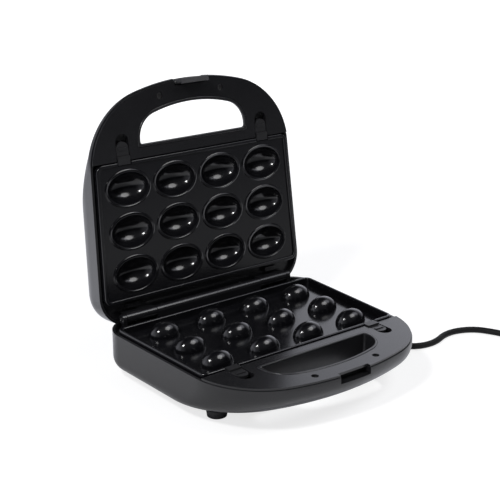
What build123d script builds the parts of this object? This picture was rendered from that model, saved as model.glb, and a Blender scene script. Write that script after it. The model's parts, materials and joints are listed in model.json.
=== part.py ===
from build123d import *
import math
import os

# Cake pop maker: a hinged clamshell cooker, modelled in millimetres.
# Every half is first drawn for the closed maker, in the frame of the hinge: X along the hinge axis,
# -Y towards the handles, Z = 0 on the plane where the plates meet. Depth is measured away from that
# plane. The base is mirrored below it, and the lid is turned back about the hinge to stand open.

# ---- overall form -------------------------------------------------------------------------------
lid_opening = 96.5        # degrees the lid stands open on its stop
plate_rear_width = 222.0  # baking plate, outside its rim, at the hinge end
plate_front_width = 213.0
plate_length = 126.5
plate_corner = 7.0
plate_setback = 14.4      # hinge axis to the plate's rear edge
rim_gap = 1.0             # between the two rims when closed
side_gap = 1.6            # plate to housing wall
wall = 2.4                # housing wall
hinge_overhang = 8.5      # housing behind the hinge axis
handle_reach = 66.6       # plate's front edge to the tip of the handle
tip_radius = 225.0        # plan radius across the handle tip
tip_fade = 0.5            # how fast that radius tightens as the body rounds in
front_corner = 70.0
corner_fade = 0.3
rear_corner = 30.0
rear_edge = 14.0
side_rim_depth = 4.0      # the housing's side walls stop this far from the mating plane
base_depth = 41.0         # mating plane to the underside of the base
base_edge = 12.0          # rounding of the base's lower edge
base_nose = 74.0          # how far the underside sweeps up towards the handle
base_nose_start = 10.0    # depth at which that sweep begins
base_nose_power = 1.7     # shape of the sweep: 1 is nearly straight, 2 is a quarter ellipse
lid_depth = 39.0
lid_edge = 22.0
lid_nose = 112.0
lid_nose_start = 8.0
lid_nose_power = 1.0

# ---- handles ------------------------------------------------------------------------------------
deck_depth = 2.0          # handle face to the mating plane
deck = 2.2                # thickness of the frame mouldings
deck_inset = 0.9          # handle face edge inside the housing edge
handle_hole_width = 116.6
handle_bar = 21.5         # width of the grip in front of the hole
hole_setback = 13.0       # plate's front edge to the hole
hole_radius = 150.0       # plan radius of the hole's front edge
hole_corner_share = 1.12  # front corner radius over the length of the hole's straight side
hole_back_corner = 2.5
flare_side = 0.78         # how far the lid's hole opens sideways for each millimetre of depth
flare_back = 0.2
collar = 2.8              # housing wall round the handle hole
collar_rise = 0.4         # collar above the handle face
seam = 0.2                # fit between the frame and housing mouldings
flange_sweep = 9.0        # the flange's front corners keep clear of the swept housing

# ---- plates -------------------------------------------------------------------------------------
pitch_x = 50.4
pitch_y = 39.2
columns = 4
rows = 3
rim_width = 3.2
rim_round = 1.3
upper_rim_round = 0.75
skirt = 8.5               # height of the plate's side walls
plate_floor = 2.5
tray_depth = 7.0          # rim to floor of the lower plate
dome_length = 31.0
dome_width = 22.0
dome_height = 12.5
bead = 1.6                # height of the upper plate's rim
cup_length = 42.4
cup_width = 29.0
cup_depth = 13.0
cup_wall = 2.2
ring_width = 2.6          # raised ring round each cup
ring_height = 0.6
tongue_width = 10.0
tongue_length = 4.5
tongue_height = 2.4
tongue_spread = 160.0

# ---- plate catches ------------------------------------------------------------------------------
catch_spread = 155.0
pocket_width = 13.5
finger_room = 3.0         # pocket left over when the catch is slid right back
pocket_depth = 6.0
catch_width = 12.5
catch_length = 17.0
catch_reach = 2.4         # overlap of the catch on the plate's rim
catch_travel = 4.0
catch_sink = 0.4          # top of the catch below the handle face
notch_width = 14.5        # gap in the rim for the catch
notch_depth = 3.0
slide_gap = 0.12

# ---- hinge --------------------------------------------------------------------------------------
barrel_radius = 4.5
barrel_length = 120.0
lug_length = 32.0
hinge_gap = 0.6
ear = 4.0
pin_radius = 2.0
pin_fit = 0.05            # radial running clearance in the lid's lugs
stop_gap = 0.3            # between the two stop faces with the lid open

# ---- latch --------------------------------------------------------------------------------------
latch_width = 29.0
lid_recess_width = 33.0
base_recess_width = 33.0
recess_depth = 9.2
latch = 2.6
latch_top = 7.6           # above the mating plane, closed
latch_pivot = 4.6
hook_reach = 1.8
hook_height = 3.0
hook_play = 0.5
lip_setback = 5.0         # edge of the handle face inside the housing's front at the latch
latch_swing = 13.8        # degrees between released and locked
latch_pin_radius = 1.2
latch_knob = 2.3          # radius of the lever round its pin

# ---- heaters and electrics ----------------------------------------------------------------------
heater_diameter = 6.5
heater_width = 150.0
heater_bend = 18.0
reflector = 0.8
reflector_inset = 9.0
heater_pin = 1.6
heater_pin_x = 12.0
stud_radius = 3.5
screw_radius = 1.5
screw_head = 3.0
screw_head_height = 2.0
boss_radius = 4.2
handle_screw_spread = 67.4
handle_screw_setback = 13.2
rear_screw_spread = 156.0
lid_rear_screw_spread = 92.0
foot_radius = 9.5
foot_height = 7.0
foot_spread = 168.0
front_foot_y = -128.0
rear_foot_y = -14.0
lamp_radius = 4.0
lamp_spread = 24.0
lamp_y = -96.0

# ---- lead ---------------------------------------------------------------------------------------
cord_diameter = 6.0
cord_exit_x = 62.0
cord_exit_depth = 21.0
bush_radius = 5.5
bush_length = 24.0
bush_flange = 1.8
coil_radius = 33.0
plug_relief = 14.0
plug_length = 28.0
plug_width = 24.0
plug_height = 17.6
blade_length = 17.0
blade_width = 6.3
blade_thick = 1.5
blade_spread = 12.7

# ---- places worked out from the sizes above -----------------------------------------------------
rim = rim_gap / 2
plate_rear_y = -plate_setback
plate_front_y = plate_rear_y - plate_length
plate_mid_y = (plate_rear_y + plate_front_y) / 2
housing_back_y = hinge_overhang
housing_front_y = plate_front_y - handle_reach
housing_length = housing_back_y - housing_front_y
deck_back_y = plate_front_y - 1.0
pocket_length = catch_length + catch_travel + finger_room
hole_back_y = plate_front_y - hole_setback
hole_front_y = housing_front_y + handle_bar
collar_top = deck_depth - collar_rise
flange_depth = rim + skirt
deck_under = deck_depth + deck
hook_under = deck_under + seam + hook_height
base_recess_height = hook_under + 2.4
lid_recess_height = latch_top + 0.8
base_lip_y = housing_front_y + lip_setback
latch_y = base_lip_y - hook_play - latch / 2
lid_lip_y = latch_y + latch_knob + hook_play
frame_inset = wall + seam
margin = side_gap + wall
half_opening = lid_opening / 2
floor_z = -base_depth - foot_height
pan_depth = heater_diameter + 1.4 + reflector
heater_rear_y = plate_rear_y - 16
stud_x = pitch_x
big = 400.0


def box(x0, x1, y0, y1, z0, z1):
    return Pos((x0 + x1) / 2, (y0 + y1) / 2, (z0 + z1) / 2) * Box(x1 - x0, y1 - y0, z1 - z0)


def post(radius, x, y, z0, z1):
    return Pos(x, y, (z0 + z1) / 2) * Cylinder(radius, z1 - z0)


def rod(radius, x0, x1, y, z):
    return Pos((x0 + x1) / 2, y, z) * Rot(0, 90, 0) * Cylinder(radius, x1 - x0)


def cell_places():
    for row in range(rows):
        for column in range(columns):
            x = (column - (columns - 1) / 2) * pitch_x
            y = plate_mid_y + (row - (rows - 1) / 2) * pitch_y
            yield x, y


def ellipsoid(x, y, z, length, width, height):
    return Pos(x, y, z) * scale(Sphere(1), by=(length / 2, width / 2, height))


def half_width(y):
    slope = (plate_front_width - plate_rear_width) / 2 / (plate_front_y - plate_rear_y)
    return plate_rear_width / 2 + slope * (y - plate_rear_y)


def corners_between(face, low, high, radius):
    chosen = [v for v in face.vertices() if low < v.Y < high]
    return fillet(chosen, radius)


def plan(side_in, back_in, front_in):
    """Plan of the housing, drawn in from its outside at the sides, the back and the handle tip."""
    back = housing_back_y - back_in
    front = housing_front_y + front_in
    beyond = housing_front_y - housing_length
    side = margin - side_in
    trapezium = make_face(Polyline(
        (-half_width(back) - side, back), (half_width(back) + side, back),
        (half_width(beyond) + side, beyond), (-half_width(beyond) - side, beyond), close=True))
    radius = tip_radius - front_in * tip_fade
    face = (trapezium & Pos(0, front + radius) * Circle(radius)).face()
    middle = (back + front) / 2
    face = corners_between(face, middle, big, max(rear_corner - back_in, 2))
    return corners_between(face, -big, middle, front_corner - (side_in + front_in) * corner_fade)


def plan_inset(amount):
    return plan(amount, amount, amount)


def handle_hole(outward, depth_behind=0.0):
    """Plan of the hole behind the grip, grown outward, and wider still where the lid's hole flares."""
    half = handle_hole_width / 2 + outward + flare_side * depth_behind
    back = hole_back_y + outward + flare_back * depth_behind
    radius = hole_radius * half / (handle_hole_width / 2)
    front = hole_front_y - outward
    blank = Pos(0, back - big / 2) * Rectangle(2 * half, big)
    face = (blank & Pos(0, front + radius) * Circle(radius)).face()
    side = back - front - radius + math.sqrt(radius ** 2 - half ** 2)
    face = corners_between(face, back - side / 2, big, hole_back_corner)
    return corners_between(face, -big, back - side / 2, hole_corner_share * side)


def hole_tube(outward, end, flared):
    """The hole's inside, or with a wall's thickness outward its tube, down to the given depth."""
    start = deck_under if flared else -1
    straight = slab(handle_hole(outward), -1, deck_under if flared else end)
    if not flared:
        return straight
    return straight + loft([Pos(0, 0, start) * handle_hole(outward),
                            Pos(0, 0, end) * handle_hole(outward, end - start)], ruled=True)


def plate_plan(inset):
    front = half_width(plate_front_y)
    rear = half_width(plate_rear_y)
    face = make_face(Polyline(
        (-rear + inset, plate_rear_y - inset), (rear - inset, plate_rear_y - inset),
        (front - inset, plate_front_y + inset), (-front + inset, plate_front_y + inset), close=True))
    return fillet(face.vertices(), max(plate_corner - inset, 1.5))


def slab(face, z0, z1):
    return extrude(Pos(0, 0, z0) * face, amount=z1 - z0, dir=(0, 0, 1))


def front_only(shape, y):
    return shape & box(-big, big, -big, y, -big, big)


def rear_only(shape, y):
    return shape & box(-big, big, y, big, -big, big)


# ---- housings -----------------------------------------------------------------------------------
def sweep_in(depth, form):
    total, _, nose, start, power = form
    share = max(0.0, (depth - start) / (total - start))
    return nose * (1 - math.sqrt(max(0.0, 1 - share ** power)))


def round_in(depth, total, radius):
    rise = max(0.0, depth - (total - radius))
    return radius - math.sqrt(max(0.0, radius ** 2 - rise ** 2))


def section(depth, form, inward):
    total, edge = form[:2]
    side_in = round_in(depth, total, edge) + inward
    back_in = round_in(depth, total, rear_edge) + inward
    front_in = sweep_in(depth, form) + inward
    return Pos(0, 0, depth) * plan(side_in, back_in, front_in)


def housing_body(form):
    total, edge, _, nose_start, _ = form
    start = total - edge
    depths = [0.0, nose_start / 2, nose_start, nose_start + 4.0, (nose_start + start) / 2 + 2.0, start]
    depths = sorted(set(depth for depth in depths if depth <= start))
    depths += [start + edge * math.sin(math.radians(angle)) for angle in (18, 36, 54, 72, 90)]
    outer = loft([section(depth, form, 0) for depth in depths])
    outer = outer & box(-big, big, -big, big, -1, total)
    roof = total - wall
    depths = [0.0, nose_start] + [nose_start + (roof - nose_start) * s for s in (0.1, 0.35, 0.65, 0.87, 1.0)]
    inner = loft([section(depth, form, wall) for depth in depths], ruled=True)
    return outer, outer - inner


def rear_stop():
    """Everything behind the hinge that the other half needs when the lid stands open."""
    run = 3 * hinge_overhang
    drop = run * math.tan(math.radians(half_opening))
    lift = stop_gap / 2 / math.cos(math.radians(half_opening))
    profile = make_face(Polyline((0, lift), (run, drop + lift), (run, -big), (0, -big), close=True))
    return extrude(Plane.YZ * profile, amount=big, both=True)


def collar_ring():
    """The rounded lip that frames the hole in the handle face."""
    ring = slab(handle_hole(collar), collar_top, deck_under)
    ring = ring - slab(handle_hole(0), collar_top - 1, deck_under + 1)
    return fillet(ring.edges().filter_by(lambda e: abs(e.center().Z - collar_top) < 0.01), collar * 0.3)


def housing(form, recess_width, recess_height, flared):
    outer, shell = housing_body(form)
    total = form[0]
    above_deck = box(-big, big, -big, big, -5, deck_under)
    tube = (hole_tube(collar, total + 1, flared) & outer) - above_deck
    shell = shell + tube - hole_tube(0, total + 1, flared)
    recess = recess_width / 2
    back = housing_front_y + recess_depth
    front = housing_front_y - 5
    liner = box(-recess - wall, recess + wall, front, back + wall, 0, recess_height + wall) & outer
    shell = shell + liner
    shell = shell - box(-recess, recess, front, back, -1, recess_height)
    shell = shell - box(-big, big, deck_back_y, big, -1, side_rim_depth)
    shell = shell - box(-big, big, -big, deck_back_y + 1, -1, deck_under)
    return outer, shell + collar_ring() - rear_stop()


def screw_boss(x, y, start, total, outer):
    return post(boss_radius, x, y, start, total + 1) & outer


def handle_screw_places():
    y = housing_front_y + handle_screw_setback
    return [(side * handle_screw_spread / 2, y) for side in (-1, 1)]


def rear_screw_places(spread):
    return [(side * spread / 2, 1.2) for side in (-1, 1)]


boss_top = flange_depth + deck
handle_boss_top = deck_under + 3.5
handle_screw_top = deck_depth + 2.0   # the heads lie well down in their holes


def add_bosses(shell, outer, total, rear_spread):
    for x, y in handle_screw_places():
        shell = shell + screw_boss(x, y, handle_boss_top, total, outer)
        shell = shell - post(screw_radius + 0.05, x, y, handle_boss_top - 1, handle_boss_top + 4.5)
    for x, y in rear_screw_places(rear_spread):
        shell = shell + screw_boss(x, y, boss_top, total, outer)
        shell = shell - post(screw_radius + 0.05, x, y, boss_top - 1, boss_top + 11)
    return shell


def frame_screws(rear_spread):
    screws = []
    places = [(x, y, handle_screw_top, handle_boss_top + 4.3) for x, y in handle_screw_places()]
    rear_top = flange_depth - screw_head_height
    places += [(x, y, rear_top, boss_top + 10) for x, y in rear_screw_places(rear_spread)]
    for x, y, top, end in places:
        head = post(screw_head, x, y, top, top + screw_head_height)
        cross = box(x - 1.8, x + 1.8, y - 0.4, y + 0.4, top - 1, top + 1)
        cross = cross + box(x - 0.4, x + 0.4, y - 1.8, y + 1.8, top - 1, top + 1)
        screws.append(head - cross + post(screw_radius, x, y, top + screw_head_height, end))
    return Compound(children=screws)


# ---- frames -------------------------------------------------------------------------------------
def pocket(side, grow, top, bottom):
    x = side * catch_spread / 2
    half = pocket_width / 2 + grow
    end = deck_back_y - pocket_length + pocket_width / 2
    return box(x - half, x + half, end, deck_back_y + 3, top, bottom) + post(half, x, end, top, bottom)


def keeper(side):
    x = side * tongue_spread / 2
    half = tongue_width / 2
    slot_top = flange_depth - tongue_height - seam
    back = plate_rear_y + tongue_length
    block = box(x - half - 2, x + half + 2, back - 1.6, back + 2.4, slot_top - 2.2, flange_depth)
    return block - box(x - half - seam, x + half + seam, back - 2, back + seam, slot_top, flange_depth + 1)


def frame(recess_width, lip):
    """The inner moulding of one half: flange under the plate, handle face, pockets and keepers."""
    inside = plan_inset(frame_inset)
    swept = plan(frame_inset, frame_inset, frame_inset + flange_sweep)
    flange = rear_only(slab(swept, flange_depth, flange_depth + deck), deck_back_y - deck)
    flange = flange - slab(plate_plan(rim_width + 4), flange_depth - 1, flange_depth + deck + 1)
    handle = front_only(slab(plan_inset(deck_inset), deck_depth, deck_under), deck_back_y)
    edge = slab(inside, deck_under, deck_under + 2) - slab(plan_inset(frame_inset + 1.8), 0, 20)
    edge = front_only(edge, deck_back_y)
    step = slab(inside, deck_under, flange_depth) & box(-big, big, deck_back_y - deck, deck_back_y, 0, 20)
    body = flange + handle + edge + step
    for side in (-1, 1):
        body = body + pocket(side, 1.6, deck_under - 0.5, deck_depth + pocket_depth + 1.6)
        body = body + keeper(side)
    for x, y in handle_screw_places():
        body = body + post(boss_radius, x, y, deck_under - 0.5, handle_boss_top)
    for side in (-1, 1):
        body = body - pocket(side, 0, -5, deck_depth + pocket_depth)
    body = body - box(-big, big, deck_back_y, plate_rear_y, -1, flange_depth)
    body = body - slab(handle_hole(collar + seam), -1, 30)
    recess = recess_width / 2
    body = body - box(-recess, recess, -big, lip, -1, deck_under + 0.1)
    body = body - box(-recess - wall - seam, recess + wall + seam, -big,
                      housing_front_y + recess_depth + wall + seam, deck_under, 30)
    for x, y in handle_screw_places():
        body = body - post(screw_head + 0.15, x, y, -1, handle_screw_top + screw_head_height)
        body = body - post(screw_radius + 0.1, x, y, 0, 30)
    return body


def finish_frame(body, rear_spread):
    for x, y in rear_screw_places(rear_spread):
        body = body - post(screw_radius + 0.1, x, y, 0, 30)
        body = body - post(screw_head + 0.15, x, y, 0, flange_depth)
    return body


def knuckle(x0, x1):
    """A hinge knuckle on the axis with its web down to the flange."""
    return rod(barrel_radius, x0, x1, 0, 0) + box(x0, x1, -barrel_radius, 0, 0, flange_depth + 0.5)


def hinge_base(body):
    half = barrel_length / 2
    lug_out = half + hinge_gap + lug_length
    body = body + knuckle(-half, half)
    body = body - rod(pin_radius + 0.01, -lug_out, -half + 25, 0, 0)
    body = body - rod(pin_radius + 0.01, half - 25, lug_out, 0, 0)
    for side in (-1, 1):
        a = side * (lug_out + hinge_gap)
        b = side * (lug_out + hinge_gap + ear)
        one = knuckle(min(a, b), max(a, b)) - rod(pin_radius + 0.01, min(a, b) - 1, max(a, b) + 1, 0, 0)
        body = body + one
    return body


def hinge_lid(body):
    half = barrel_length / 2 + hinge_gap
    for side in (-1, 1):
        a = side * half
        b = side * (half + lug_length)
        lug = knuckle(min(a, b), max(a, b))
        body = body + (lug - rod(pin_radius + pin_fit, min(a, b) - 1, max(a, b) + 1, 0, 0))
    return body


def hinge_pin(side):
    inner = barrel_length / 2 - 24.5
    outer = barrel_length / 2 + 2 * hinge_gap + lug_length + ear - 0.3
    ends = sorted((side * inner, side * outer))
    return rod(pin_radius, ends[0], ends[1], 0, 0)


# ---- plates -------------------------------------------------------------------------------------
def plate_notches(body):
    for side in (-1, 1):
        x = side * catch_spread / 2
        half = notch_width / 2
        body = body - box(x - half, x + half, plate_front_y - 1, plate_front_y + rim_width,
                          -5, rim + notch_depth)
    return body


def plate_tongues(body):
    for side in (-1, 1):
        x = side * tongue_spread / 2
        half = tongue_width / 2
        top = flange_depth - tongue_height
        body = body + box(x - half, x + half, plate_rear_y - 3, plate_rear_y + tongue_length - 0.2,
                          top, flange_depth)
    return body


def studs(start, end):
    return [post(stud_radius, side * stud_x, plate_mid_y, start, end) for side in (-1, 1)]


def dished_plate():
    """Lower plate: a shallow tray with a dome for every cake."""
    floor_top = rim + tray_depth
    floor_under = floor_top + plate_floor
    body = slab(plate_plan(0), rim, flange_depth)
    body = body - slab(plate_plan(rim_width), rim - 1, floor_top)
    body = fillet(body.edges().filter_by(lambda e: abs(e.center().Z - rim) < 0.01), rim_round)
    body = body + slab(plate_plan(rim_width + 5), floor_top + 0.5, floor_under)
    for x, y in cell_places():
        dome = ellipsoid(x, y, floor_top + 0.5, dome_length, dome_width, dome_height + 0.5)
        body = body + (dome & box(x - 30, x + 30, y - 20, y + 20, -30, floor_top + 0.5))
    for stud in studs(floor_under - 0.5, floor_under + pan_depth - reflector):
        body = body + stud
    return plate_tongues(plate_notches(body))


def cupped_plate():
    """Upper plate: flat, with a deep oval cup for every cake and a raised ring round each."""
    face = rim + bead
    under = face + plate_floor
    body = slab(plate_plan(0), rim, flange_depth)
    body = body - slab(plate_plan(rim_width), under, flange_depth + 1)
    body = body - slab(plate_plan(rim_width), rim - 1, face)
    body = fillet(body.edges().filter_by(lambda e: abs(e.center().Z - rim) < 0.01), upper_rim_round)
    for x, y in cell_places():
        oval = Pos(x, y) * Ellipse(cup_length / 2 + cup_wall, cup_width / 2 + cup_wall)
        small = Pos(x, y) * Ellipse(cup_length / 2 - 4, cup_width / 2 - 4)
        top = face + cup_depth + cup_wall
        boss = loft([Pos(0, 0, under - 0.5) * oval, Pos(0, 0, face + cup_depth * 0.6) * oval,
                     Pos(0, 0, top) * small], ruled=True)
        body = body + boss
        outer = Ellipse(cup_length / 2 + ring_width, cup_width / 2 + ring_width)
        body = body + slab(Pos(x, y) * outer, face - ring_height, face + 0.5)
    for x, y in cell_places():
        body = body - ellipsoid(x, y, face - ring_height, cup_length, cup_width, cup_depth + ring_height)
    for stud in studs(under - 0.5, face + cup_depth + cup_wall + pan_depth - reflector):
        body = body + stud
    return plate_tongues(plate_notches(body))


# ---- heaters ------------------------------------------------------------------------------------
def heater(surface, pin_end):
    """A tubular element bent to a U, its cold pins turned down through the pan below it."""
    depth = surface + heater_diameter / 2
    half = heater_width / 2
    front = plate_front_y + 24
    rear = heater_rear_y
    path = FilletPolyline((-26, rear, depth), (-half, rear, depth), (-half, front, depth),
                          (half, front, depth), (half, rear, depth), (26, rear, depth),
                          radius=heater_bend)
    tube = sweep(Plane(origin=path @ 0, z_dir=path % 0) * Circle(heater_diameter / 2), path=path)
    for side in (-1, 1):
        ends = sorted((side * 26, side * heater_pin_x))
        tube = tube + rod(heater_pin, ends[0], ends[1], rear, depth) + Pos(side * heater_pin_x, rear, depth) \
            * Sphere(heater_pin)
        tube = tube + post(heater_pin, side * heater_pin_x, rear, depth, pin_end)
    return tube


def reflector_pan(start):
    """A shallow steel pan that closes the heater in against its plate."""
    outer = slab(plate_plan(reflector_inset), start, start + pan_depth)
    inner = slab(plate_plan(reflector_inset + reflector), start - 1, start + pan_depth - reflector)
    pan = outer - inner
    for side in (-1, 1):
        pan = pan - post(screw_radius + 0.2, side * stud_x, plate_mid_y, start, start + pan_depth + 1)
        pan = pan - post(heater_pin + 0.8, side * heater_pin_x, heater_rear_y, start, start + pan_depth + 1)
    return pan


def reflector_screws(surface):
    screws = []
    for side in (-1, 1):
        x = side * stud_x
        shank = post(screw_radius, x, plate_mid_y, surface - reflector, surface)
        screws.append(shank + post(screw_head, x, plate_mid_y, surface, surface + screw_head_height))
    return Compound(children=screws)


# ---- base half ----------------------------------------------------------------------------------
def to_base(shape):
    return mirror(shape, about=Plane.XY)


def to_lid(shape):
    return Rot(-lid_opening, 0, 0) * shape


def foot_places():
    return {"front_left_foot": (-foot_spread / 2, front_foot_y),
            "front_right_foot": (foot_spread / 2, front_foot_y),
            "rear_left_foot": (-foot_spread / 2, rear_foot_y),
            "rear_right_foot": (foot_spread / 2, rear_foot_y)}


def base_shell():
    form = (base_depth, base_edge, base_nose, base_nose_start, base_nose_power)
    outer, shell = housing(form, base_recess_width, base_recess_height, False)
    shell = add_bosses(shell, outer, base_depth, rear_screw_spread)
    for x, y in foot_places().values():
        shell = shell + (post(boss_radius, x, y, base_depth - 10, base_depth + 1) & outer)
        shell = shell - post(screw_radius + 0.05, x, y, base_depth - 8, base_depth + 1)
    for group in (-1, 1):
        for slot in range(5):
            x = group * 42 + (slot - 2) * 8
            shell = shell - box(x - 1.5, x + 1.5, -88, -62, base_depth - wall - 1, base_depth + 1)
    port = Pos(cord_exit_x, housing_back_y, cord_exit_depth) * Rot(90, 0, 0) * \
        Cylinder(bush_radius + 0.05, 12)
    shell = shell + (box(cord_exit_x + 12, cord_exit_x + 18, -16, -4, base_depth - 12, base_depth) & outer)
    shell = shell - port
    return to_base(shell)


def foot(x, y):
    top = -base_depth
    body = Pos(x, y, top - foot_height / 2) * Rot(180, 0, 0) * Cone(foot_radius, foot_radius - 1,
                                                                   foot_height)
    body = body - post(screw_head + 1, x, y, floor_z - 1, floor_z + 4)
    return body - post(screw_radius + 0.1, x, y, floor_z, top + 1)


def foot_screws():
    screws = []
    for x, y in foot_places().values():
        head = post(screw_head, x, y, floor_z + 2, floor_z + 4)
        screws.append(head + post(screw_radius, x, y, floor_z + 4, -base_depth + 6))
    return Compound(children=screws)


thermostat_y = plate_rear_y - 34
block_box = (8.0, 38.0, -42.0, -24.0)
block_height = 9.0
lead_radius = 0.8
lower_surface = rim + tray_depth + plate_floor
lower_pan_under = -(lower_surface + pan_depth)
pin_end_z = lower_pan_under - 4


def thermostat():
    y = thermostat_y
    body = post(8, 0, y, lower_pan_under - 7, lower_pan_under)
    body = body + box(-14, 14, y - 4, y + 4, lower_pan_under - 1, lower_pan_under)
    for side in (-1, 1):
        body = body + box(side * 4 - 2, side * 4 + 2, y - 0.4, y + 0.4, lower_pan_under - 14,
                          lower_pan_under - 6.5)
    return body


def thermal_fuse():
    y = plate_rear_y - 62
    z = lower_pan_under - 3.1
    body = rod(2.5, -9, 9, y, z) + rod(0.6, -16, 16, y, z)
    return body + box(-2, 2, y - 3, y + 3, z, lower_pan_under)


def terminal_block():
    z0 = -base_depth + wall
    x0, x1, y0, y1 = block_box
    body = box(x0, x1, y0, y1, z0, z0 + block_height)
    for x in (16, 30):
        body = body - post(2.6, x, -35, z0 + 3, z0 + block_height + 1)
        body = body + post(2.2, x, -35, z0 + 2.5, z0 + block_height - 1)
    return body


def cord_clamp():
    z0 = -base_depth + wall
    x0 = cord_exit_x - 12
    body = box(x0, x0 + 24, -16, -6, z0, -cord_exit_depth + 6)
    return body - Pos(cord_exit_x, -11, -cord_exit_depth) * Rot(90, 0, 0) * \
        Cylinder(cord_diameter / 2, 30)


def wire(points, radius, bend):
    path = FilletPolyline(*points, radius=bend)
    return sweep(Plane(origin=path @ 0, z_dir=path % 0) * Circle(radius), path=path)


def lower_wires():
    """Leads from the heater's pins and the thermostat to the terminal block."""
    x0, _, y0, _ = block_box
    z0 = -base_depth + wall
    run = z0 + block_height / 2
    side_lead = [(-heater_pin_x, heater_rear_y, pin_end_z), (-heater_pin_x, heater_rear_y, run),
                 (x0, heater_rear_y, run)]
    tab = (4, thermostat_y, lower_pan_under - 14)
    tab_lead = [tab, (4, thermostat_y, z0 + 1.5), (16, thermostat_y, z0 + 1.5), (16, y0, z0 + 1.5)]
    pin_lead = post(lead_radius, heater_pin_x, heater_rear_y, z0 + block_height, pin_end_z)
    return Compound(children=[wire(side_lead, lead_radius, 4), wire(tab_lead, lead_radius, 1.3), pin_lead])


def mains_leads():
    """End of the lead inside the base, stripped into its two cores."""
    z = -cord_exit_depth
    inner = housing_back_y - wall - 1.8
    sheath = Pos(cord_exit_x, (inner - 20) / 2, z) * Rot(90, 0, 0) * Cylinder(cord_diameter / 2, inner + 20)
    block_top = -base_depth + wall + block_height
    cores = [sheath]
    for x, shift in ((32, -1.5), (26, 1.5)):
        points = [(cord_exit_x + shift, -20, z), (cord_exit_x + shift, -28 + shift, z),
                  (x, -28 + shift, z), (x, -28 + shift, block_top)]
        cores.append(wire(points, lead_radius, 3))
    return Compound(children=cores)


def cord_bush():
    """The moulded strain relief where the lead leaves the back of the base."""
    y0 = housing_back_y
    z = -cord_exit_depth

    def ring(radius, y_from, y_to):
        return Pos(cord_exit_x, (y_from + y_to) / 2, z) * Rot(-90, 0, 0) * Cylinder(radius, y_to - y_from)

    body = ring(bush_radius, y0 - wall - 0.5, y0 + 0.5) + ring(bush_radius + 1.6, y0 + 0.04, y0 + bush_flange)
    body = body + ring(bush_radius + 1.4, y0 - wall - 1.8, y0 - wall - 0.04)
    taper = Pos(cord_exit_x, y0 + bush_flange + bush_length / 2, z) * Rot(-90, 0, 0) * \
        Cone(bush_radius, cord_diameter / 2 + 1, bush_length)
    body = body + taper
    for rib in range(5):
        y = y0 + bush_flange + 4 + rib * 4
        body = body - (ring(bush_radius + 2, y, y + 1.2) - ring(cord_diameter / 2 + 0.9, y - 1, y + 2))
    return body


# ---- lid half -----------------------------------------------------------------------------------
upper_surface = rim + bead + cup_depth + cup_wall
board_depth = lid_depth - wall - 4.1


def lid_shell():
    form = (lid_depth, lid_edge, lid_nose, lid_nose_start, lid_nose_power)
    outer, shell = housing(form, lid_recess_width, lid_recess_height, True)
    shell = add_bosses(shell, outer, lid_depth, lid_rear_screw_spread)
    for side in (-1, 1):
        x = side * lamp_spread / 2
        shell = shell - post(lamp_radius - 0.9, x, lamp_y, lid_depth - wall - 1, lid_depth + 1)
        shell = shell + post(2, side * 18, lamp_y, board_depth, lid_depth - wall + 0.5)
    return to_lid(shell - latch_pin_bore())


def latch_pin_bore():
    half = lid_recess_width / 2 + wall
    return rod(latch_pin_radius + 0.02, -half, half, latch_y, latch_pivot)


def latch_lever():
    """Lever on the lid; its hook passes under the lip of the base's handle face."""
    half = latch_width / 2
    face = latch_y - latch / 2
    body = box(-half, half, face, face + latch, -hook_under, latch_top)
    body = fillet(body.edges().filter_by(Axis.X), latch * 0.3)
    hook = box(-half, half, face + latch - 1, face + latch + hook_play + hook_reach,
               -hook_under, -deck_under - seam)
    knob = rod(latch_knob, -half, half, latch_y, latch_pivot)
    body = body + hook + knob
    for rib in range(3):
        body = body + rod(0.5, -half + 3, half - 3, face, 0.4 + rib * 1.8)
    body = body - rod(latch_pin_radius + 0.05, -half - 1, half + 1, latch_y, latch_pivot)
    released = Pos(0, latch_y, latch_pivot) * Rot(-latch_swing, 0, 0) * Pos(0, -latch_y, -latch_pivot)
    return to_lid(released * body)


def latch_pin():
    half = lid_recess_width / 2 + wall - 0.3
    return to_lid(rod(latch_pin_radius, -half, half, latch_y, latch_pivot))


def catch(side):
    """A sliding tab in its pocket whose tongue holds the plate's front rim."""
    x = side * catch_spread / 2
    half = catch_width / 2
    top = deck_depth + catch_sink
    floor_depth = deck_depth + pocket_depth
    reach = plate_front_y + catch_reach
    end = deck_back_y - catch_length + half
    tab = box(x - half, x + half, end, deck_back_y - 0.6, top, top + 2.2) + post(half, x, end, top, top + 2.2)
    tongue = box(x - half, x + half, deck_back_y - 4, reach, rim + 0.3, rim + notch_depth - slide_gap)
    keel = box(x - 4, x + 4, end, deck_back_y - 2, top + 2, floor_depth - slide_gap)
    grip = box(x - 4.5, x + 4.5, end - 1, end + 1.4, top - 0.7, top + 0.2)
    return tab + tongue + keel + grip


def lamp_lens(side):
    x = side * lamp_spread / 2
    lens = post(lamp_radius, x, lamp_y, lid_depth, lid_depth + 1.2)
    lens = chamfer(lens.edges().group_by(Axis.Z)[-1], 0.6)
    return to_lid(lens + post(lamp_radius - 1, x, lamp_y, lid_depth - wall - 3, lid_depth + 0.1))


def lamp_board():
    board = box(-22, 22, lamp_y - 7, lamp_y + 7, board_depth - 1.6, board_depth)
    for side in (-1, 1):
        board = board + post(2.4, side * lamp_spread / 2, lamp_y, board_depth - 0.1, board_depth + 1.1)
    return to_lid(board)


def upper_wires():
    """Leads from the upper heater's pins to the lamp board."""
    run = board_depth - 0.8
    leads = []
    for side in (-1, 1):
        x = side * heater_pin_x
        points = [(x, heater_rear_y, upper_surface + pan_depth + 1.8), (x, heater_rear_y, run),
                  (x, lamp_y + 7, run)]
        leads.append(wire(points, lead_radius, 2.5))
    return to_lid(Compound(children=leads))


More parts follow.
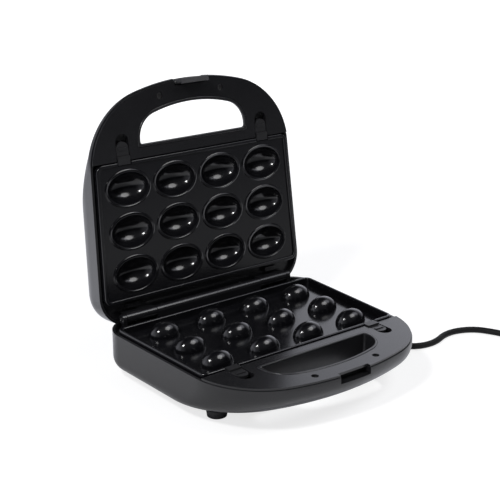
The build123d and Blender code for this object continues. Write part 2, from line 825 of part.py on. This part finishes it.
# ---- lead ---------------------------------------------------------------------------------------
cord_z = floor_z + cord_diameter / 2
cord_route = [
    (cord_exit_x, housing_back_y + bush_flange + bush_length, -cord_exit_depth),
    (62.0, 54.0, -21.0),
    (66.0, 78.0, -31.0),
    (82.0, 97.0, -41.0),
    (106.0, 100.0, cord_z),
    (130.0, 84.0, cord_z),
    (142.0, 54.0, cord_z),
    (140.0, 14.0, cord_z),
    (133.0, -28.0, cord_z),
    (132.0, -66.0, cord_z),
    (127.0, -100.0, cord_z),
    (138.0, -131.0, cord_z),
    (164.0, -140.0, cord_z),
    (194.0, -128.0, cord_z),
    (221.0, -137.0, cord_z),
    (233.0, -158.0, cord_z),
    (238.4, -175.2, cord_z),
]
coil_lead_in = 22.0       # straight stretch between the route's end and the coil's turns
coil_exit_angle = -30.0   # where the end with the plug leaves the turns
coil_rise = 5.8           # from one turn up to the turn lying on it
coil_width = 5.6          # across the turns, a little inside their rounded flanks


def corner_radii(route):
    """Radius of each corner: 0.45 of the shorter run over the tangent of half the turn."""
    radii = []
    for before, here, after in zip(route, route[1:], route[2:]):
        into = Vector(*here) - Vector(*before)
        out = Vector(*after) - Vector(*here)
        turn = math.radians(into.get_angle(out))
        radii.append(0.45 * min(into.length, out.length) / math.tan(turn / 2))
    return radii


def power_cord():
    radii = corner_radii(cord_route)
    print("cord radii", [round(r, 1) for r in radii])
    path = FilletPolyline(*cord_route, radius=radii)
    tube = sweep(Plane(origin=path @ 0, z_dir=path % 0) * Circle(cord_diameter / 2), path=path)
    print("cord length", round(path.length, 1), "volume share",
          round(tube.volume / (path.length * math.pi * cord_diameter ** 2 / 4), 4))
    return tube


def direction(angle):
    return Vector(math.cos(math.radians(angle)), math.sin(math.radians(angle)), 0)


def coil_places():
    """Where the lead runs on to the coil, the coil's middle, and where the plug's end leaves it."""
    before, end = Vector(*cord_route[-2]), Vector(*cord_route[-1])
    heading = (end - before).normalized()
    entry = end + heading * coil_lead_in
    middle = entry + Vector(-heading.Y, heading.X, 0) * coil_radius
    leaving = middle + direction(coil_exit_angle) * coil_radius + Vector(0, 0, coil_rise)
    return end, entry, middle, leaving


def tube_between(start, end, radius):
    run = end - start
    return Plane(origin=start, z_dir=run) * extrude(Circle(radius), run.length)


def cord_coil():
    """Outer shape of the stored turns, with the straight stretches where the lead joins and leaves."""
    end, entry, middle, leaving = coil_places()
    half = cord_diameter / 2
    upright = Pos(middle.X + coil_radius, middle.Y, cord_z + coil_rise / 2)
    profile = Plane.XZ * RectangleRounded(coil_width, coil_width + coil_rise, half - 0.6)
    ring = revolve(upright * profile, Axis((middle.X, middle.Y, 0), (0, 0, 1)))
    out = leaving + direction(coil_exit_angle + 90) * coil_lead_in
    return ring + tube_between(end, entry, half) + tube_between(leaving, out, half)


def plug():
    """Moulded plug body with its tapered relief, and its two blades, laid beside the coil."""
    _, _, _, leaving = coil_places()
    heading = direction(coil_exit_angle + 90)
    start = leaving + heading * coil_lead_in
    place = Plane(origin=start, x_dir=direction(coil_exit_angle), z_dir=heading)
    relief = loft([Circle(cord_diameter / 2 + 0.8), Pos(0, 0, plug_relief) * Circle(plug_height / 2 - 3)])
    grip = loft([Pos(0, 0, plug_relief - 1) * RectangleRounded(plug_width - 8, plug_height - 4, 5),
                 Pos(0, 0, plug_relief + plug_length) * RectangleRounded(plug_width, plug_height, 4)])
    front = plug_relief + plug_length
    blades = []
    body = relief + grip
    for side in (-1, 1):
        x = side * blade_spread / 2
        blade = box(x - blade_thick / 2, x + blade_thick / 2, -blade_width / 2, blade_width / 2,
                    front - 6, front + blade_length)
        body = body - blade
        hole = Pos(x, 0, front + blade_length - 4) * Rot(0, 90, 0) * Cylinder(1.5, 4)
        blades.append(place * (blade - hole))
    return place * body, Compound(children=blades)


def solids_of(shape):
    return shape.solids()


# ---- assembly -----------------------------------------------------------------------------------
def build():
    nodes = {}
    lower_frame = finish_frame(hinge_base(frame(base_recess_width, base_lip_y)), rear_screw_spread)
    nodes["base_shell"] = base_shell()
    nodes["base_frame"] = to_base(lower_frame)
    nodes["lower_plate"] = to_base(dished_plate())
    nodes["lower_heater"] = to_base(heater(lower_surface, -pin_end_z))
    nodes["lower_reflector"] = to_base(reflector_pan(lower_surface))
    nodes["lower_reflector_screws"] = to_base(reflector_screws(lower_surface + pan_depth))
    nodes["lower_frame_screws"] = to_base(frame_screws(rear_screw_spread))
    nodes["thermostat"] = thermostat()
    nodes["thermal_fuse"] = thermal_fuse()
    nodes["terminal_block"] = terminal_block()
    nodes["lower_wires"] = lower_wires()
    nodes["mains_leads"] = mains_leads()
    nodes["cord_clamp"] = cord_clamp()
    nodes["cord_bush"] = cord_bush()
    for name, (x, y) in foot_places().items():
        nodes[name] = foot(x, y)
    nodes["foot_screws"] = foot_screws()
    nodes["left_hinge_pin"] = hinge_pin(-1)
    nodes["right_hinge_pin"] = hinge_pin(1)
    nodes["lower_left_catch"] = to_base(catch(-1))
    nodes["lower_right_catch"] = to_base(catch(1))
    nodes["lid_shell"] = lid_shell()
    upper_frame = hinge_lid(frame(lid_recess_width, lid_lip_y)) - latch_pin_bore()
    nodes["lid_frame"] = to_lid(finish_frame(upper_frame, lid_rear_screw_spread))
    nodes["upper_plate"] = to_lid(cupped_plate())
    nodes["upper_heater"] = to_lid(heater(upper_surface, upper_surface + pan_depth + 1.8))
    nodes["upper_reflector"] = to_lid(reflector_pan(upper_surface))
    nodes["upper_reflector_screws"] = to_lid(reflector_screws(upper_surface + pan_depth))
    nodes["upper_wires"] = upper_wires()
    nodes["upper_frame_screws"] = to_lid(frame_screws(lid_rear_screw_spread))
    nodes["upper_left_catch"] = to_lid(catch(-1))
    nodes["upper_right_catch"] = to_lid(catch(1))
    nodes["power_lamp_lens"] = lamp_lens(-1)
    nodes["ready_lamp_lens"] = lamp_lens(1)
    nodes["lamp_board"] = lamp_board()
    nodes["latch"] = latch_lever()
    nodes["latch_pin"] = latch_pin()
    nodes["power_cord"] = power_cord()
    nodes["cord_coil"] = cord_coil()
    nodes["plug_body"], nodes["plug_blades"] = plug()
    return nodes


cord_nodes = ("power_cord", "cord_coil", "plug_body", "plug_blades")


def main():
    os.makedirs("parts", exist_ok=True)
    nodes = build()
    own = Compound(children=[Compound(solids_of(s)) for n, s in nodes.items() if n not in cord_nodes])
    bounds = own.bounding_box()
    middle = (bounds.min.Y + bounds.max.Y) / 2
    shift = Pos(0, -middle, -floor_z)
    print("hinge axis", (0, round(-middle, 4), round(-floor_z, 4)))
    print("box without the lead", [round(v, 2) for v in (*own.bounding_box().min, *own.bounding_box().max)])
    print("shift", round(-middle, 4), round(-floor_z, 4), "x", round(bounds.min.X, 3), round(bounds.max.X, 3))
    for name, shape in nodes.items():
        solids = [shift * s for s in solids_of(shape)]
        export_step(Compound(children=solids) if len(solids) > 1 else solids[0], f"parts/{name}.step")


main()
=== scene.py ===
import json
import math
import bmesh
import bpy
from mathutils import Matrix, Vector


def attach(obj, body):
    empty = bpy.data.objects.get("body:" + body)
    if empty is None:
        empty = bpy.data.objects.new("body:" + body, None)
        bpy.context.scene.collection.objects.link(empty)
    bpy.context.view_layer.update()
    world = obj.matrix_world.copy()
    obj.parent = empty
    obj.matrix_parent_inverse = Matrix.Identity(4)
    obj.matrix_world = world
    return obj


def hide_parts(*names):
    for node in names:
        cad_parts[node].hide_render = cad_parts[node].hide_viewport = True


print("scene: loading the frame")
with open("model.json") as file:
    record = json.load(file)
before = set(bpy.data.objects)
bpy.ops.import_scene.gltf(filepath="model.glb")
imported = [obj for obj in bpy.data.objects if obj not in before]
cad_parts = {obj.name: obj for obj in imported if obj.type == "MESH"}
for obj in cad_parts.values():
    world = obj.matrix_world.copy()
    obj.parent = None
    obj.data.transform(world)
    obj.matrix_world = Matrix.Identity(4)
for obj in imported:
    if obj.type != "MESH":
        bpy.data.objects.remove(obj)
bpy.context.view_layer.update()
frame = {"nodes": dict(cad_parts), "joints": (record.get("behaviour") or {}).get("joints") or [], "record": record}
hinge = Vector(frame["joints"][0]["pos_m"])     # the lid's hinge axis: the places below start there
slotOf = {part["node"]: part["material_slot"] for part in frame["record"]["subparts"]}
bodies = frame["record"]["behaviour"]["bodies"]
bodyOf = {node: body for body, nodes in bodies.items() for node in nodes}


def addObject(name, data):
    obj = bpy.data.objects.new(name, data)
    bpy.context.scene.collection.objects.link(obj)
    return obj


# the camera stands at the front left, a little above the open lid
camera = {
    "place": (-0.5922, -0.8316, 0.3942),        # from the hinge, in metres
    "azimuth": -37.67,
    "elevation": 18.84,
    "lens": 82.63,                              # millimetres
    "sensor": 36.0,
}


def makeCamera():
    data = bpy.data.cameras.new("camera")
    data.lens = camera["lens"]
    data.sensor_width = camera["sensor"]
    obj = addObject("camera", data)
    a = math.radians(camera["azimuth"])
    e = math.radians(camera["elevation"])
    back = Vector((math.sin(a) * math.cos(e), -math.cos(a) * math.cos(e), math.sin(e)))
    obj.location = hinge + Vector(camera["place"])
    obj.rotation_euler = back.to_track_quat("Z", "Y").to_euler()
    bpy.context.scene.camera = obj


# the lead leaves the base's back, comes round its right side and ends in a stored coil and plug
lead = {
    "diameter": 0.006,
    "length": 0.79,
    "route": [                                  # from the hinge, in metres
        (0.0620, 0.0343, -0.0210), (0.0620, 0.0540, -0.0210), (0.0660, 0.0780, -0.0310),
        (0.0820, 0.0970, -0.0410), (0.1060, 0.1000, -0.0450), (0.1300, 0.0840, -0.0450),
        (0.1420, 0.0540, -0.0450), (0.1400, 0.0140, -0.0450), (0.1330, -0.0280, -0.0450),
        (0.1320, -0.0660, -0.0450), (0.1270, -0.1000, -0.0450), (0.1380, -0.1310, -0.0450),
        (0.1640, -0.1400, -0.0450), (0.1940, -0.1280, -0.0450), (0.2210, -0.1370, -0.0450),
        (0.2330, -0.1580, -0.0450), (0.2384, -0.1752, -0.0450),
    ],
    "leadIn": 0.022,                            # the straight stretches before and after the coil
    "coilRadius": 0.033,
    "exitAngle": -30.0,                         # where the plug's end leaves the turns
    "climb": 60.0,                              # degrees over which it climbs onto the turn below
    "rise": 0.0058,
    "stepsPerTurn": 18,
    "roundness": 5,                             # how finely the tube is drawn, around and along
    "smoothness": 6,
}


def leadPoints():
    points = [Vector(p) for p in lead["route"]]
    heading = (points[-1] - points[-2]).normalized()
    entry = points[-1] + heading * lead["leadIn"]
    middle = entry + Vector((-heading.y, heading.x, 0)) * lead["coilRadius"]
    start = math.degrees(math.atan2(entry.y - middle.y, entry.x - middle.x))
    sweep = (lead["exitAngle"] - start) % 360 + 360
    steps = round(sweep / 360 * lead["stepsPerTurn"])
    # the curve cuts its points' corners, so they stand a little outside the turn
    reach = lead["coilRadius"] / (0.75 + 0.25 * math.cos(math.radians(sweep / steps)))
    for i in range(steps + 1):
        turned = sweep * i / steps
        angle = math.radians(start + turned)
        share = min(max((turned - 360 + lead["climb"]) / lead["climb"], 0), 1)
        lift = lead["rise"] * share * share * (3 - 2 * share)
        points.append(middle + Vector((reach * math.cos(angle), reach * math.sin(angle), lift)))
    angle = math.radians(lead["exitAngle"])
    leaving = Vector((-math.sin(angle), math.cos(angle), 0)) * lead["leadIn"]
    points += [points[-1] + leaving * share for share in (0.5, 1.0)]
    return [hinge + p for p in points]


def makeLead(material):
    data = bpy.data.curves.new("power_lead", "CURVE")
    data.dimensions = "3D"
    data.bevel_depth = lead["diameter"] / 2
    data.bevel_resolution = lead["roundness"]
    data.resolution_u = lead["smoothness"]
    data.use_fill_caps = True
    points = leadPoints()
    spline = data.splines.new("NURBS")
    spline.points.add(len(points) - 1)
    for target, point in zip(spline.points, points):
        target.co = (*point, 1)
    spline.order_u = 3
    spline.use_endpoint_u = True
    data.materials.append(material)
    obj = addObject("power_lead", data)
    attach(obj, "base")
    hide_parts("power_cord", "cord_coil")
    return obj, points[0]


# a node's output, which adds and multiplies like a number
class Value:
    def __init__(self, finish, socket):
        self.finish, self.socket = finish, socket

    def combine(self, operation, first, second):
        return self.finish.add("ShaderNodeMath", {"operation": operation}, {0: first, 1: second})

    def alone(self, operation):
        return self.combine(operation, self, 0.0)

    def __add__(self, other): return self.combine("ADD", self, other)
    def __radd__(self, other): return self.combine("ADD", other, self)
    def __sub__(self, other): return self.combine("SUBTRACT", self, other)
    def __rsub__(self, other): return self.combine("SUBTRACT", other, self)
    def __mul__(self, other): return self.combine("MULTIPLY", self, other)
    def __rmul__(self, other): return self.combine("MULTIPLY", other, self)
    def __truediv__(self, other): return self.combine("DIVIDE", self, other)


# one node tree: a new material's, or the world's
class Finish:
    def __init__(self, name, tree=None):
        if tree is None:
            self.material = bpy.data.materials.new(name)
            self.material.use_nodes = True
            tree = self.material.node_tree
        self.tree = tree
        self.tree.nodes.clear()

    def add(self, kind, settings=None, inputs=None, out=0):
        node = self.tree.nodes.new(kind)
        for key, value in (settings or {}).items():
            setattr(node, key, value)
        for key, value in (inputs or {}).items():
            if isinstance(value, Value):
                self.tree.links.new(value.socket, node.inputs[key])
            else:
                node.inputs[key].default_value = value
        return Value(self, node.outputs[out])

    def place(self):
        return self.add("ShaderNodeTexCoord", out="Object")

    def noise(self, scale, detail=3.0, rough=0.55):
        return self.add("ShaderNodeTexNoise", {}, {
            "Vector": self.place(), "Scale": scale, "Detail": detail, "Roughness": rough})

    def along(self, vector, axis):
        return self.add("ShaderNodeVectorMath", {"operation": "DOT_PRODUCT"}, {
            0: vector, 1: axis}, out="Value")

    def fade(self, vector, towards, start, end):
        return self.ramp(self.along(vector, towards), start, end)

    def ramp(self, value, start, end):
        return self.add("ShaderNodeMapRange", {"interpolation_type": "SMOOTHSTEP"}, {
            "Value": value, "From Min": start, "From Max": end})

    # the mix node's two colours are inputs 6 and 7, and its mixed colour is output 2
    def mix(self, share, first, second):
        ends = [end if isinstance(end, Value) else (*end, 1) for end in (first, second)]
        return self.add("ShaderNodeMix", {"data_type": "RGBA"}, {
            "Factor": share, 6: ends[0], 7: ends[1]}, out=2)

    def bump(self, strength, distance, height):
        return self.add("ShaderNodeBump", {}, {
            "Strength": strength, "Distance": distance, "Height": height}, out="Normal")

    def close(self, surface, kind="ShaderNodeOutputMaterial"):
        node = self.tree.nodes.new(kind)
        self.tree.links.new(surface.socket, node.inputs["Surface"])
        return getattr(self, "material", None)

    def principled(self, inputs):
        return self.close(self.add("ShaderNodeBsdfPrincipled", {}, inputs))


# the rounding of the raised ring round each of the upper plate's cups, from the hinge axis
cupRings = {
    "rise": 0.0005,
    "width": 0.07,                              # as a share of the ring's size
    "edge": 0.01,                               # where the rings stop, past the grid's last cup
    "across": {"axis": (1, 0, 0), "middle": 0.0, "pitch": 0.0504, "count": 4, "reach": 0.0228},
    "along": {"axis": (0, -0.1132, -0.9936), "middle": -0.07765, "pitch": 0.0392, "count": 3,
              "reach": 0.0163},
}


def ringRelief(finish):
    spread, inside = 0.0, 1.0
    for row in (cupRings["across"], cupRings["along"]):
        start = Vector(row["axis"]).dot(hinge) + row["middle"]
        shift = (finish.along(finish.place(), row["axis"]) - start) / row["pitch"]
        half = row["count"] / 2
        off = ((shift + half).alone("FRACT") - 0.5) * (row["pitch"] / row["reach"])
        spread = spread + off * off
        inside = inside * (1 - finish.ramp(shift.alone("ABSOLUTE"), half, half + cupRings["edge"]))
    away = (spread.alone("SQRT") - 1).alone("ABSOLUTE")
    return inside * (1 - finish.ramp(away, 0, cupRings["width"]))


def moulded(name, look):
    finish = Finish(name)
    tone = finish.noise(look["patch"], detail=4)
    grain = finish.noise(look["grain"], detail=2)
    if look.get("rings"):
        share = look["bump"] * look["height"] / cupRings["rise"]
        bump = finish.bump(1.0, cupRings["rise"], ringRelief(finish) + grain * share)
    else:
        bump = finish.bump(look["bump"], look["height"], grain)
    return finish.principled({
        "Base Color": finish.mix(tone, look["low"], look["high"]),
        "Roughness": look["rough"] + (tone - 0.5) * look["swing"],
        "Specular IOR Level": look.get("specular", 0.5),
        "Normal": bump})


metal = {"streak": 400, "patch": 90, "bump": 0.2, "height": 0.00003, "swing": 0.15}
lens = {"patch": 300, "rough": 0.08, "swing": 0.04, "coat": 0.5}


def drawn(name, look):
    finish = Finish(name)
    stretched = finish.add("ShaderNodeMapping", {}, {
        "Vector": finish.place(), "Scale": look["stretch"]})
    streak = finish.add("ShaderNodeTexNoise", {}, {
        "Vector": stretched, "Scale": metal["streak"], "Detail": 4})
    tone = finish.noise(metal["patch"])
    return finish.principled({
        "Base Color": finish.mix(tone, look["low"], look["high"]),
        "Metallic": 1.0,
        "Roughness": look["rough"] + (streak - 0.5) * metal["swing"],
        "Normal": finish.bump(metal["bump"], metal["height"], streak)})


def tinted(name, look):
    finish = Finish(name)
    tone = finish.noise(lens["patch"])
    return finish.principled({
        "Base Color": finish.mix(tone, look["low"], look["high"]),
        "Roughness": lens["rough"] + tone * lens["swing"],
        "Coat Weight": lens["coat"]})


looks = {
    "housing_plastic": (moulded, {
        "low": (0.007, 0.007, 0.008), "high": (0.011, 0.011, 0.012), "rough": 0.3,
        "swing": 0.06, "patch": 25, "grain": 2600, "bump": 0.35, "height": 0.00003}),
    "inner_plastic": (moulded, {
        "low": (0.006, 0.006, 0.007), "high": (0.010, 0.010, 0.011), "rough": 0.24,
        "swing": 0.06, "patch": 40, "grain": 2600, "bump": 0.3, "height": 0.00003}),
    "nonstick_coating": (moulded, {
        "low": (0.003, 0.003, 0.004), "high": (0.006, 0.006, 0.007), "rough": 0.16,
        "swing": 0.08, "patch": 70, "grain": 900, "bump": 0.2, "height": 0.00004}),
    "catch_plastic": (moulded, {
        "low": (0.010, 0.010, 0.011), "high": (0.015, 0.015, 0.016), "rough": 0.38,
        "swing": 0.06, "patch": 150, "grain": 2600, "bump": 0.3, "height": 0.00002}),
    "latch_plastic": (moulded, {
        "low": (0.030, 0.030, 0.032), "high": (0.040, 0.040, 0.043), "rough": 0.4,
        "swing": 0.06, "patch": 120, "grain": 2600, "bump": 0.3, "height": 0.00002}),
    "foot_rubber": (moulded, {
        "low": (0.014, 0.014, 0.014), "high": (0.022, 0.022, 0.022), "rough": 0.6,
        "swing": 0.1, "patch": 200, "grain": 1800, "bump": 0.5, "height": 0.00005}),
    "bush_rubber": (moulded, {
        "low": (0.014, 0.014, 0.014), "high": (0.022, 0.022, 0.022), "rough": 0.5,
        "swing": 0.1, "patch": 200, "grain": 1800, "bump": 0.4, "height": 0.00004}),
    "cord_sheath": (moulded, {
        "low": (0.006, 0.006, 0.006), "high": (0.01, 0.01, 0.01), "rough": 0.55, "specular": 0.15,
        "swing": 0.08, "patch": 90, "grain": 1500, "bump": 0.15, "height": 0.00002}),
    "plug_moulding": (moulded, {
        "low": (0.012, 0.012, 0.013), "high": (0.019, 0.019, 0.020), "rough": 0.4,
        "swing": 0.08, "patch": 150, "grain": 1500, "bump": 0.35, "height": 0.00003}),
    "lead_insulation": (moulded, {
        "low": (0.55, 0.52, 0.46), "high": (0.68, 0.65, 0.58), "rough": 0.6,
        "swing": 0.1, "patch": 300, "grain": 1500, "bump": 0.4, "height": 0.00005}),
    "ceramic": (moulded, {
        "low": (0.66, 0.63, 0.56), "high": (0.75, 0.72, 0.66), "rough": 0.55,
        "swing": 0.1, "patch": 200, "grain": 1200, "bump": 0.4, "height": 0.00004}),
    "thermostat_body": (moulded, {
        "low": (0.10, 0.035, 0.015), "high": (0.14, 0.05, 0.02), "rough": 0.4,
        "swing": 0.1, "patch": 200, "grain": 1500, "bump": 0.3, "height": 0.00003}),
    "circuit_board": (moulded, {
        "low": (0.30, 0.22, 0.10), "high": (0.38, 0.28, 0.13), "rough": 0.35,
        "swing": 0.1, "patch": 200, "grain": 900, "bump": 0.2, "height": 0.00002}),
    "heater_steel": (drawn, {
        "low": (0.20, 0.18, 0.16), "high": (0.30, 0.27, 0.24), "rough": 0.5,
        "stretch": (1, 1, 1)}),
    "pan_steel": (drawn, {
        "low": (0.45, 0.45, 0.44), "high": (0.56, 0.56, 0.55), "rough": 0.38,
        "stretch": (1, 12, 12)}),
    "screw_steel": (drawn, {
        "low": (0.12, 0.12, 0.12), "high": (0.18, 0.18, 0.18), "rough": 0.45,
        "stretch": (4, 4, 4)}),
    "hinge_steel": (drawn, {
        "low": (0.42, 0.42, 0.41), "high": (0.52, 0.52, 0.51), "rough": 0.28,
        "stretch": (1, 14, 14)}),
    "fuse_body": (drawn, {
        "low": (0.50, 0.50, 0.48), "high": (0.60, 0.60, 0.58), "rough": 0.4,
        "stretch": (1, 8, 8)}),
    "plug_brass": (drawn, {
        "low": (0.58, 0.56, 0.50), "high": (0.66, 0.63, 0.56), "rough": 0.22,
        "stretch": (2, 2, 12)}),
    "red_lens": (tinted, {
        "low": (0.30, 0.008, 0.006), "high": (0.42, 0.015, 0.012)}),
    "green_lens": (tinted, {
        "low": (0.01, 0.22, 0.03), "high": (0.02, 0.32, 0.05)}),
}
# the upper plate has the same coating, with its rings
looks["upper_plate"] = (moulded, {**looks["nonstick_coating"][1], "rings": True})
finishes = {name: make(name, look) for name, (make, look) in looks.items()}
print("scene: finishes made", len(finishes))


joining = {"distance": 0.000002, "smoothAngle": 35.0}


def dress(node):
    source = frame["nodes"][node]
    mesh = source.data.copy()
    mesh.materials.clear()
    work = bmesh.new()
    work.from_mesh(mesh)
    bmesh.ops.remove_doubles(work, verts=work.verts, dist=joining["distance"])
    for face in work.faces:
        face.smooth = True
    work.to_mesh(mesh)
    work.free()
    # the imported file's own normals no longer fit the joined vertices
    if "custom_normal" in mesh.attributes:
        mesh.attributes.remove(mesh.attributes["custom_normal"])
    mesh.set_sharp_from_angle(angle=math.radians(joining["smoothAngle"]))
    mesh.materials.append(finishes.get(node, finishes[slotOf[node]]))
    obj = addObject(node + "_dressed", mesh)
    even = obj.modifiers.new("even", "WEIGHTED_NORMAL")
    even.keep_sharp = True
    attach(obj, bodyOf[node])
    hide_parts(node)
    return obj


makeCamera()
leadObject, leadExit = makeLead(finishes["cord_sheath"])
print("scene: camera and lead placed")
dressed = {node: dress(node) for node in frame["nodes"] if node not in ("power_cord", "cord_coil")}
print("scene: pieces dressed", len(dressed))


# floor and light: the headings are compass ones, 0 at the back and 90 at the right, in degrees
light = {
    "key": {"towards": (-0.606, -0.286, 0.743), "distance": 1.4, "size": 0.20, "power": 9.0},
    "fill": {"towards": (0.328, -0.511, 0.794), "distance": 1.8, "size": 0.84, "power": 9.0},
    # the soft pale patches of the studio that the plastic mirrors: (heading, height, spread, level)
    "studio": [(70, 12, 42, 0.75), (250, 12, 42, 0.40), (180, 50, 50, 0.12), (114, 49, 18, 2.2),
               (40, 20, 22, 0.70), (65, 20, 22, 0.55), (285, 15, 40, 0.90), (325, 30, 40, 0.90)],
    "tint": (0.96, 0.975, 1.07),
    # painted reflection: the floor glows for all but camera rays, by heading, so the plastic mirrors it and is lit
    # by it: (heading, level near by, level farther out)
    "paintedGlow": [(0, 0.66, 0.45), (60, 0.50, 0.34), (120, 0.34, 0.0), (180, 0.20, 0.0),
              (240, 0.0, 0.10), (300, 0.12, 0.85)],
    "sector": {"spread": 55, "nearTo": 0.22, "farFrom": 0.32, "farTo": 1.5, "goneAt": 3.0},
    # painted shade: for all but camera rays the floor turns from its colour to a darker one out towards the front
    # right, which the plastic mirrors
    "floor": {"size": 8.0, "below": 0.0001, "color": 0.8, "paintedShadeHeading": 145, "paintedShadeColor": 0.42,
              "seenColor": 0.40, "glow": 0.745, "whiteFrom": 0.35, "whiteAt": 1.2},
    "softest": 5,                               # degrees from a patch's middle where it is full
}


def heading(degrees, height=0.0):
    a = math.radians(degrees)
    e = math.radians(height)
    return (math.sin(a) * math.cos(e), math.cos(a) * math.cos(e), math.sin(e))


def cosines(spread):
    return math.cos(math.radians(spread)), math.cos(math.radians(light["softest"]))


def makeFloor():
    work = bmesh.new()
    bmesh.ops.create_grid(work, x_segments=1, y_segments=1, size=light["floor"]["size"])
    mesh = bpy.data.meshes.new("floor")
    bmesh.ops.translate(work, verts=work.verts, vec=(0, 0, -light["floor"]["below"]))
    work.to_mesh(mesh)
    work.free()
    finish = Finish("pale_floor_painted_light")
    setup, window = light["floor"], light["sector"]
    straight = finish.add("ShaderNodeLightPath", out="Is Camera Ray")
    outward = finish.add("ShaderNodeVectorMath", {"operation": "LENGTH"}, {
        0: finish.place()}, out="Value")
    around = finish.add("ShaderNodeVectorMath", {"operation": "NORMALIZE"}, {
        0: finish.place()}, out="Vector")
    beyond = finish.ramp(outward, window["nearTo"], window["farFrom"])
    # painted shade: past nearTo and towards the front right the floor is darker for all but camera rays, so the
    # plastic mirrors a dark floor there
    paintedShade = beyond * finish.fade(around, heading(setup["paintedShadeHeading"]), *cosines(window["spread"]))
    floorColorWithPaintedShade = finish.mix(paintedShade, [setup["color"]] * 3, [setup["paintedShadeColor"]] * 3)
    matt = finish.add("ShaderNodeBsdfDiffuse", {}, {
        "Color": finish.mix(straight, floorColorWithPaintedShade, [setup["seenColor"]] * 3)})
    gone = finish.ramp(outward, window["farTo"], window["goneAt"])
    # painted reflection: for all but camera rays the floor glows by heading, from its near level to its farther
    # one, and stops glowing far out
    paintedGlowStrength = 0.0
    for degrees, near, far in light["paintedGlow"]:
        side = finish.fade(around, heading(degrees), *cosines(window["spread"]))
        paintedGlowStrength = paintedGlowStrength + side * (near + beyond * (far - near))
    white = finish.ramp(outward, setup["whiteFrom"], setup["whiteAt"])
    seen = setup["glow"] + white * (1 - setup["glow"])
    # the camera sees the floor's pale glow; all other rays see the tinted painted reflection glow
    glow = finish.add("ShaderNodeEmission", {}, {
        "Color": finish.mix(straight, light["tint"], (1, 1, 1)),
        "Strength": straight * seen + (1 - straight) * (1 - gone) * paintedGlowStrength})
    mesh.materials.append(finish.close(finish.add("ShaderNodeAddShader", {}, {0: matt, 1: glow})))
    addObject("floor", mesh)


def makeSurround():
    world = bpy.data.worlds.new("surround")
    bpy.context.scene.world = world
    world.use_nodes = True
    finish = Finish("sky", world.node_tree)
    straight = finish.add("ShaderNodeLightPath", out="Is Camera Ray")
    through = finish.add("ShaderNodeLightPath", out="Is Transmission Ray")
    outlook = finish.add("ShaderNodeTexCoord", out="Generated")
    studio = 0.0
    for degrees, height, spread, level in light["studio"]:
        studio = studio + finish.fade(outlook, heading(degrees, height), *cosines(spread)) * level
    shown = straight + through
    back = finish.add("ShaderNodeBackground", {}, {
        "Color": finish.mix(shown, light["tint"], (1, 1, 1)),
        "Strength": shown + (1 - shown) * studio})
    finish.close(back, "ShaderNodeOutputWorld")


def makeLamp(name, setup):
    data = bpy.data.lights.new(name, "AREA")
    data.shape = "DISK"
    data.size = setup["size"]
    data.energy = setup["power"]
    obj = addObject(name, data)
    towards = Vector(setup["towards"]).normalized()
    obj.location = hinge + towards * setup["distance"]
    obj.rotation_euler = towards.to_track_quat("Z", "Y").to_euler()


makeFloor()
makeSurround()
makeLamp("key", light["key"])
makeLamp("fill", light["fill"])
print("scene: floor and light made")

bpy.context.scene.view_settings.view_transform = "Standard"
